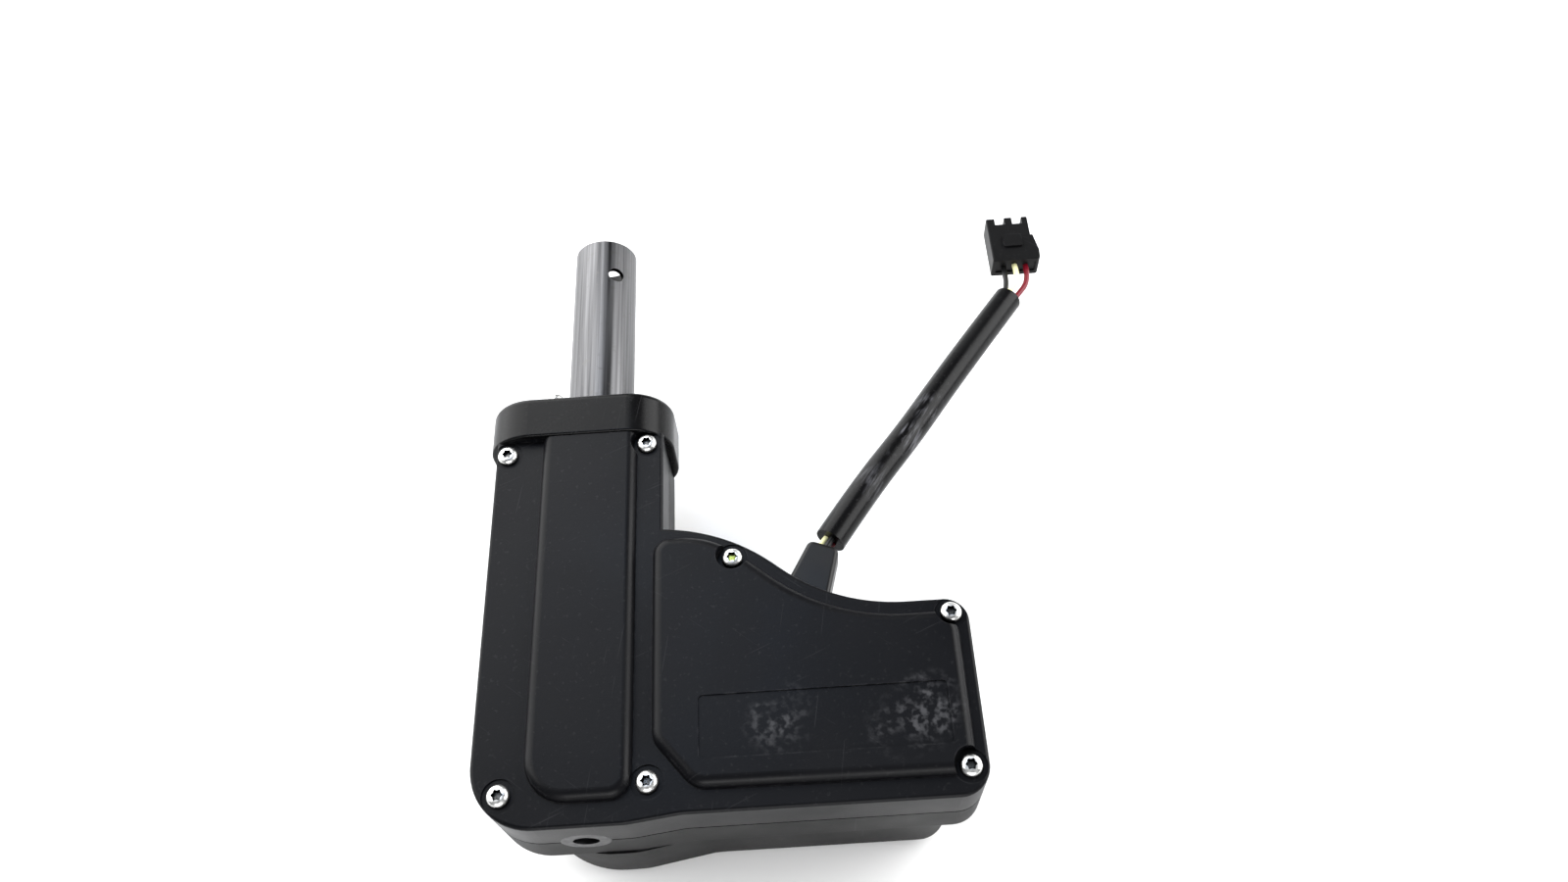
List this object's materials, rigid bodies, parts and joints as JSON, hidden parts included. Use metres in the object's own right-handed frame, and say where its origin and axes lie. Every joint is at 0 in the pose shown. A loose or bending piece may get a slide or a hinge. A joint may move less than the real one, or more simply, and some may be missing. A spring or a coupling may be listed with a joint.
{
  "type": "linear actuator",
  "caption": "Electric linear actuator: chromed push tube in a black L-shaped two-shell housing, with a short sleeved cable and connector.",
  "frame": {"origin": "on the screw axis, at the housing's tail face where the tail bush is", "axes": "+Y along the push tube, outwards; +X towards the motor end of the foot; +Z out of the front shell"},
  "size_m": [0.2219, 0.2552, 0.0684],
  "materials": {
    "shell_plastic": "satin",
    "rear_plastic": "matte",
    "cap_plastic": "satin",
    "chrome_tube": "polished",
    "zinc_screw": "satin",
    "bright_steel": "satin",
    "black_oxide_steel": "satin",
    "motor_can_steel": "satin",
    "sintered_bronze": "satin",
    "copper": "satin",
    "black_rubber": "matte",
    "natural_nylon": "satin",
    "guide_pom": "satin",
    "carbon": "matte",
    "ferrite": "matte",
    "board": "satin",
    "sleeve_black": "gloss",
    "wire_cream_pvc": "satin",
    "wire_red_pvc": "satin",
    "wire_black_pvc": "satin",
    "connector_nylon": "satin",
    "tinned_metal": "satin"
  },
  "bodies": {
    "housing": {"front_shell": "shell_plastic", "rear_shell": "rear_plastic", "end_cap": "cap_plastic", "shell_gasket": "black_rubber", "cover_screws": "zinc_screw", "cap_screws": "zinc_screw", "tail_bush": "black_oxide_steel", "guide_bush": "guide_pom", "wiper_seal": "black_rubber", "bearing_outer_ring": "bright_steel", "motor_can": "motor_can_steel", "motor_end_cap": "motor_can_steel", "motor_front_bush": "sintered_bronze", "motor_rear_bush": "sintered_bronze", "motor_mount_rings": "black_rubber", "motor_magnets": "ferrite", "brush_plate": "natural_nylon", "brush_holders": "sintered_bronze", "carbon_brushes": "carbon", "worm_end_bush": "sintered_bronze", "switch_board": "board", "limit_switches": "carbon", "cable_grommet": "black_rubber", "cable_sleeve": "sleeve_black", "wire_cream": "wire_cream_pvc", "wire_black": "wire_black_pvc", "wire_red": "wire_red_pvc", "connector_housing": "connector_nylon", "connector_contacts": "tinned_metal"},
    "rotor": {"motor_shaft": "bright_steel", "armature_core": "bright_steel", "armature_windings": "copper", "commutator": "copper", "worm": "bright_steel"},
    "screw": {"lead_screw": "bright_steel", "screw_lock_nut": "zinc_screw", "wheel_spacer": "bright_steel", "screw_tip_guide": "guide_pom", "screw_tip_nut": "zinc_screw", "worm_wheel": "natural_nylon", "bearing_inner_ring": "bright_steel"},
    "ball_train": {"bearing_balls": "bright_steel"},
    "tube": {"push_tube": "chrome_tube", "drive_nut": "natural_nylon", "nut_pins": "bright_steel"}
  },
  "joints": [
    {"name": "rotor_spin", "type": "hinge", "parent": "housing", "child": "rotor", "pos_m": [0, 0.032, -0.017], "axis": [1, 0, 0], "range_deg": [-31680, 54720]},
    {"name": "screw_spin", "type": "hinge", "parent": "housing", "child": "screw", "pos_m": [0, 0.032, 0], "axis": [0, 1, 0], "range_deg": [-1320, 2280]},
    {"name": "ball_train_spin", "type": "hinge", "parent": "housing", "child": "ball_train", "pos_m": [0, 0.0175, 0], "axis": [0, 1, 0], "range_deg": [-523.6, 904.4]},
    {"name": "tube_slide", "type": "slide", "parent": "housing", "child": "tube", "axis": [0, 1, 0], "range_m": [-0.038, 0.022]}
  ],
  "couplings": [
    {"joint": "screw_spin", "follows": "rotor_spin", "ratio": 0.041667},
    {"joint": "ball_train_spin", "follows": "rotor_spin", "ratio": 0.016528},
    {"joint": "tube_slide", "follows": "rotor_spin", "m_per_rad": -0.000039789}
  ]
}
